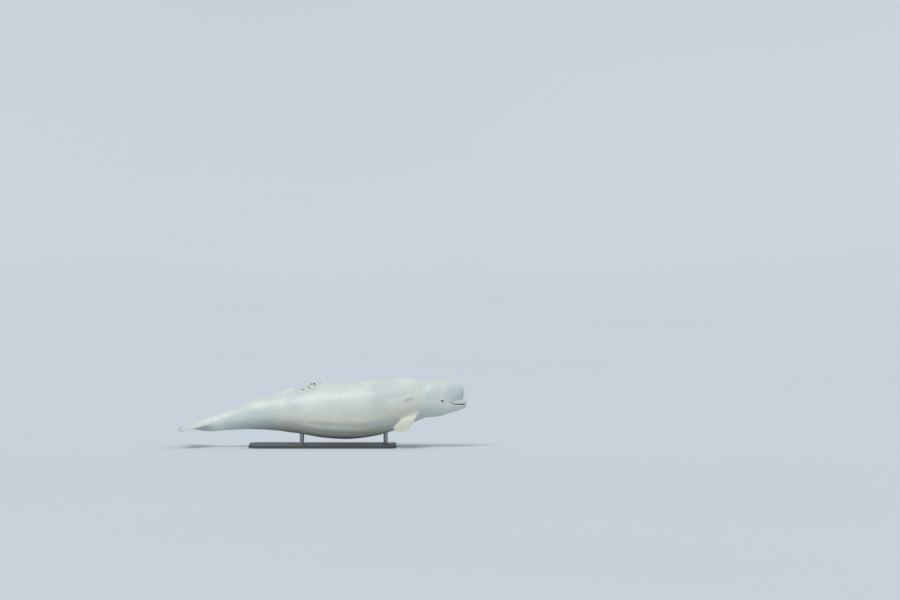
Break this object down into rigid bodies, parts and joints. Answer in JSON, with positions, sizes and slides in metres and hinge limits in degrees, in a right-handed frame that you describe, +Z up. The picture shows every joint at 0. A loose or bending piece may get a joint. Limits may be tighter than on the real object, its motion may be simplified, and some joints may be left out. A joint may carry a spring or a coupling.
{
  "type": "beluga whale",
  "caption": "Life-size still model of an adult beluga whale surfacing to breathe, with a scarred dorsal ridge, held over a flat base by two short rods.",
  "frame": {"origin": "middle of the model's footprint, on the floor under the stand's base", "axes": "+X towards the whale's snout, +Y towards its left side, +Z up"},
  "size_m": [4.1264, 1.0914, 0.9931],
  "materials": {
    "skin": "smooth damp skin",
    "ridge": "scarred skin",
    "eye": "wet and dark",
    "base": "matt dark grey paint",
    "rod": "brushed"
  },
  "bodies": {
    "root": {"head": "skin", "lower_jaw": "skin", "eye_left": "eye", "eye_right": "eye", "neck": "skin", "chest": "skin", "abdomen": "skin", "tail_stock_front": "skin", "tail_stock_rear": "skin", "fluke_left": "skin", "fluke_right": "skin", "flipper_left": "skin", "flipper_right": "skin", "dorsal_ridge": "ridge", "stand_base": "base", "stand_rod_front": "rod", "stand_rod_rear": "rod"}
  },
  "joints": []
}
